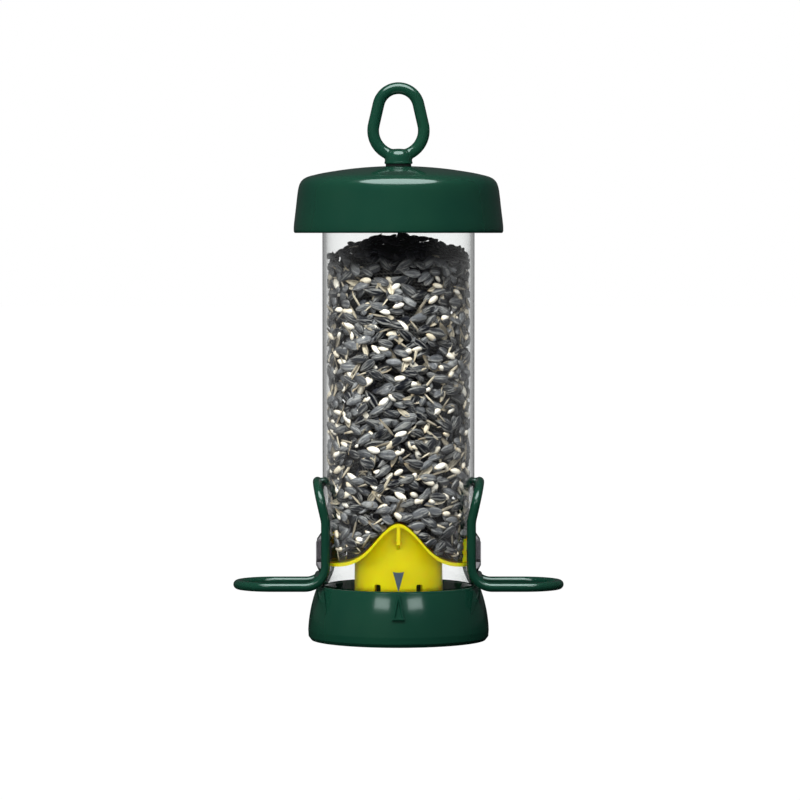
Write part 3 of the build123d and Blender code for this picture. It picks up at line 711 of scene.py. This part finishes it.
def keepInside(mesh):
    # press the seeds flat against the wall, and hold them off the ramp
    co = np.zeros(len(mesh.vertices) * 3)
    mesh.vertices.foreach_get("co", co)
    co = co.reshape(-1, 3) / mm
    r = np.hypot(co[:, 0], co[:, 1])
    over = r > seedSizes["wallLimit"]
    co[over, :2] *= (seedSizes["wallLimit"] / r[over])[:, None]
    co[:, 2] = np.maximum(co[:, 2], ridgeZ(co[:, 0]) + seedSizes["ridgeGap"])
    mesh.vertices.foreach_set("co", (co * mm).ravel())
    mesh.update()


shapes = {
    "huskA": seedShape("huskA", 11.2, 5.6, 2.9, 6, 10, 0.78),
    "huskB": seedShape("huskB", 9.6, 4.9, 2.7, 6, 10, 0.62),
    "kernelA": seedShape("kernelA", 7.2, 3.4, 2.2, 5, 8, 0.62),
    "kernelB": seedShape("kernelB", 5.8, 3.1, 2.1, 5, 8, 0.5),
    "hullA": seedShape("hullA", 10.0, 3.6, 1.8, 6, 8, 0.75, 0.75),
    "sliverA": seedShape("sliverA", 10.5, 1.5, 0.8, 5, 6, 0.6),
}
seedLayers = [
    ("seedsNearA", "outerRadius", "huskA", "huskB", blackHusk, 0.0055, 34000, 0.72, 1.02, 0.38, 0.65, 0, 5),
    ("seedsNearB", "middleRadius", "huskB", "huskA", blackHusk, 0.0044, 36000, 0.72, 1.05, 0.5, 1.1, 0, 21),
    ("chipsNear", "outerRadius", "kernelB", "huskB", blackHusk, 0.0058, 20000, 0.3, 0.55, 0.6, 1.6, 0, 27),
    ("kernelsNear", "outerRadius", "kernelA", "kernelB", creamKernel, 0.0068, 10000, 0.75, 1.1, 0.3, 0.8, 7, 33),
    ("kernelsMid", "middleRadius", "kernelB", "kernelA", creamKernel, 0.0058, 9000, 0.8, 1.15, 0.5, 1.4, 8, 35),
    ("hullsNear", "outerRadius", "hullA", "sliverA", paleHull, 0.0052, 17000, 0.7, 1.25, 0.45, 1.3, 8, 47),
    ("sliversNear", "outerRadius", "sliverA", "hullA", paleHull, 0.0085, 9000, 0.6, 1.0, 0.5, 1.5, 7, 52),
    ("seedsFar", "innerRadius", "huskA", "huskB", shadedHusk, 0.0046, 36000, 0.85, 1.1, 0.6, 1.6, 0, 61),
]
heapLayers = [
    ("heapSeeds", "huskA", "huskB", blackHusk, 0.0034, 52000, 0.7, 1.0, 0.28, 3.1, 71),
    ("heapKernels", "kernelA", "hullA", creamKernel, 0.014, 3000, 0.75, 1.0, 0.4, 3.1, 83),
]
seedPieces = []


def scatterOn(sheet, first, second, finish, spacing, density, small, large, tilt, swing, number):
    modifier = sheet.modifiers.new("scatter", "NODES")
    modifier.node_group = seedScatter
    setInputs(modifier, {"Seed Shape": shapes[first], "Second Shape": shapes[second], "Spacing": spacing,
                         "Density": float(density), "Smallest": small, "Largest": large, "Tilt": tilt, "Swing": swing,
                         "Random Seed": number, "Finish": finish})
    bake(sheet)
    keepInside(sheet.data)
    seedPieces.append(sheet)
    print(sheet.name, len(sheet.data.polygons), "faces")


for name, radiusKey, *look, inset, number in seedLayers:
    scatterOn(wallSheet(name, seedSizes[radiusKey], inset), *look, number)
for name, *look in heapLayers:
    scatterOn(heapSheet(name), *look)
for template in shapes.values():
    bpy.data.objects.remove(template)

# the dark middle of the charge, closed below by the ramp's own shape
coreVerts, coreFaces = [], []
coreAround, coreUp = 96, 40
for k in range(coreAround):
    a = 2 * math.pi * k / coreAround
    x, y = seedSizes["coreRadius"] * math.cos(a), seedSizes["coreRadius"] * math.sin(a)
    if abs(x) > seedSizes["coreReach"]:
        x = math.copysign(seedSizes["coreReach"], x)
    low = float(ridgeZ(x)) + 0.6
    for i in range(coreUp + 1):
        coreVerts.append((x * mm, y * mm, (low + (seedSizes["coreTop"] - low) * i / coreUp) * mm))
topMiddle = len(coreVerts)
coreVerts.append((0, 0, seedSizes["coreCrown"] * mm))
for k in range(coreAround):
    a, b = k * (coreUp + 1), ((k + 1) % coreAround) * (coreUp + 1)
    for i in range(coreUp):
        coreFaces.append((a + i, b + i, b + i + 1, a + i + 1))
    coreFaces.append((a + coreUp, b + coreUp, topMiddle))
# underside: strips across the ramp
lowRing = [k * (coreUp + 1) for k in range(coreAround)]
half = coreAround // 2
for k in range(half):
    a, b = lowRing[k], lowRing[k + 1]
    c, d = lowRing[(coreAround - k - 1) % coreAround], lowRing[(coreAround - k) % coreAround]
    coreFaces.append((b, a, d, c) if a != d else (b, a, c))
seedCore = meshObject("seedCore", coreVerts, coreFaces, blackHusk, 60)
seedCore.data.uv_layers.new(name="seedUv")
seedPieces.append(seedCore)
for piece in seedPieces:
    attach(piece, "tube")
    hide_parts("seed_fill")
print("seed made")


# CAD nodes that stay
def finishNodes(material, *names):
    for name in names:
        mesh = nodes[name].data
        mesh.materials.clear()
        mesh.materials.append(material)


finishNodes(greenPlastic, "base_dish", "perch_right", "perch_left", "top_ring", "lid_carrier")
finishNodes(yellowPlastic, "baffle")
finishNodes(smokedHood, "port_hood_right", "port_hood_left")
finishNodes(printedInk, "align_mark")
finishNodes(sealRubber, "seal_washer")
finishNodes(steel, "base_screw", "perch_nut_right", "perch_nut_left", "ring_rivets", "retaining_clip", "lock_pin")
print("finishes set")


# camera, light, floor
view = {"distance": 2.0, "height": 0.2035, "aimZ": 0.120, "aimX": 0.00075, "lens": 180.0}
camera = bpy.data.objects.new("camera", bpy.data.cameras.new("camera"))
scene.collection.objects.link(camera)
camera.data.lens = view["lens"]
camera.data.sensor_width = 36.0
camera.data.clip_start = 0.05
camera.data.clip_end = 50.0
camera.location = (view["aimX"], -view["distance"], view["height"])
aim = Vector((view["aimX"], 0.0, view["aimZ"])) - camera.location
camera.rotation_euler = aim.to_track_quat("-Z", "Y").to_euler()
scene.camera = camera
scene.view_settings.view_transform = "Standard"

# what a ray sees of the room: white straight on or through the clear parts, dim in the gloss; once it has been
# mirrored inside the clear parts it sees grey to the sides and behind, and next to nothing in front
studio = {"ambient": 0.24, "mirrored": 0.05, "echo": 0.44, "floorGlow": 1.0}


def roomSeen(w, echo):
    rays = w.node("ShaderNodeLightPath")
    seen = w.maths("MAXIMUM", rays.outputs["Is Camera Ray"], rays.outputs["Is Transmission Ray"])
    echoed = w.maths("GREATER_THAN", rays.outputs["Glossy Depth"], 0.5)
    bright = w.maths("SUBTRACT", 1.0, w.maths("MULTIPLY", echoed, w.maths("SUBTRACT", 1.0, echo)))
    return rays, seen, bright


world = bpy.data.worlds.new("studio")
scene.world = world
world.use_nodes = True
w = Web(world.node_tree)
back = world.node_tree.nodes["Background"]
facing = w.node("ShaderNodeSeparateXYZ")
w.link(w.node("ShaderNodeTexCoord").outputs["Generated"], facing.inputs[0])
rays, seen, bright = roomSeen(w, w.ramp(facing.outputs["Y"], -0.75, -0.2, 0.01, studio["echo"]))
unseen = w.ramp(rays.outputs["Is Glossy Ray"], 0.0, 1.0, studio["ambient"], studio["mirrored"])
strength = w.maths("ADD", unseen, w.maths("MULTIPLY", seen, w.maths("SUBTRACT", bright, unseen)))
w.link(w.mixColour(seen, (0.93, 0.96, 1.0, 1), (1, 1, 1, 1)), back.inputs[0])
w.link(strength, back.inputs[1])

# the floor is seen pale, and only a little of it shows in the gloss
floorMaterial, w, floorShader, floorOut = newMaterial("paleFloor")
floorShader.inputs["Base Color"].default_value = (0.05, 0.05, 0.05, 1)
floorShader.inputs["Roughness"].default_value = 0.9
floorShader.inputs["Specular IOR Level"].default_value = 0.0
glow = w.node("ShaderNodeEmission")
outward = w.node("ShaderNodeVectorMath", operation="NORMALIZE")
w.link(w.node("ShaderNodeNewGeometry").outputs["Position"], outward.inputs[0])
facing = w.node("ShaderNodeSeparateXYZ")
w.link(outward.outputs[0], facing.inputs[0])
_, seen, bright = roomSeen(w, w.ramp(facing.outputs["Y"], -0.75, -0.2, 0.01, studio["echo"]))
w.link(w.maths("MULTIPLY", w.maths("MULTIPLY", seen, bright), studio["floorGlow"]), glow.inputs["Strength"])
total = w.node("ShaderNodeAddShader")
w.link(floorShader.outputs[0], total.inputs[0])
w.link(glow.outputs[0], total.inputs[1])
w.link(total.outputs[0], floorOut.inputs["Surface"])
floor = meshObject("floor", [(-9, -9, -0.0002), (9, -9, -0.0002), (9, 9, -0.0002), (-9, 9, -0.0002)], [(0, 1, 2, 3)],
                   floorMaterial)


def receivers(name, objects):
    group = bpy.data.collections.new(name)
    for obj in objects:
        group.objects.link(obj)
    return group


def softLight(name, spot, target, size, power, colour=(1, 1, 1), lit=True, mirrored=False, onto=None):
    # lit: it lights the surfaces; mirrored: it shows in their gloss; onto: the only pieces it reaches
    lamp = bpy.data.lights.new(name, "AREA")
    lamp.shape = "ELLIPSE" if name.endswith("Card") else "RECTANGLE"
    lamp.size, lamp.size_y = size
    lamp.energy = power
    lamp.color = colour
    obj = bpy.data.objects.new(name, lamp)
    scene.collection.objects.link(obj)
    obj.location = spot
    obj.rotation_euler = (Vector(target) - Vector(spot)).to_track_quat("-Z", "Y").to_euler()
    obj.visible_diffuse = lit
    obj.visible_glossy = mirrored
    obj.visible_transmission = False
    if onto:
        obj.light_linking.receiver_collection = onto


# the ridge and its plinth are lit from straight ahead, the seed and the mouldings from above as well
middle = (0, 0, 0.13)
greens = [nodes[n] for n in ("base_dish", "perch_right", "perch_left", "top_ring", "lid_carrier")]
mouldings = receivers("mouldings", greens + [nodes["align_mark"], roof, hangingEye])
ridgeOnly = receivers("ridgeOnly", [nodes["baffle"]])
lowGreens = receivers("lowGreens", greens[:3])
highGreens = receivers("highGreens", greens[1:3] + [roof, hangingEye])
upperLit = receivers("upperLit", greens + seedPieces + [roof, hangingEye, clearTube] + [nodes[n] for n in (
    "align_mark", "port_hood_right", "port_hood_left", "seal_washer", "ring_rivets", "lock_pin", "retaining_clip",
    "base_screw", "perch_nut_right", "perch_nut_left")])
seedOnly = receivers("seedOnly", seedPieces)
softLight("key", (0, -0.75, 1.25), middle, (1.3, 0.42), 17, onto=upperLit)
softLight("seedKey", (-0.25, -0.8, 1.2), middle, (0.5, 0.3), 27, (1, 0.99, 0.97), onto=seedOnly)
softLight("leftFill", (-1.5, -0.7, 0.35), middle, (0.8, 1.0), 8, (1.0, 0.98, 0.93))
softLight("rightFill", (1.5, -0.3, 0.35), middle, (0.8, 1.0), 0.5, (0.8, 0.9, 1.0))
softLight("frontFill", (-0.6, -1.5, 0.12), middle, (1.2, 0.9), 10.5, onto=mouldings)
softLight("ridgeFill", (0, -1.6, 0.06), (0, 0, 0.04), (1.2, 0.1), 14.5, onto=ridgeOnly)
softLight("ridgeLeft", (-1.3, -1.1, 0.12), middle, (0.6, 0.4), 9, onto=ridgeOnly)
softLight("ridgeRight", (1.3, -1.1, 0.12), middle, (0.6, 0.4), 6, onto=ridgeOnly)
softLight("frontLeft", (-0.63, -1.45, 0.84), middle, (0.58, 0.3), 2.6, (0.85, 1, 0.96), False, True, lowGreens)
softLight("frontRight", (0.63, -1.45, 0.84), middle, (0.58, 0.3), 2.6, (0.85, 1, 0.96), False, True, lowGreens)
softLight("roofCard", (0, -0.61, 1.38), (0, 0, 0.23), (1.75, 1.25), 42, (0.82, 1, 0.97), False, True, highGreens)
print("studio set")
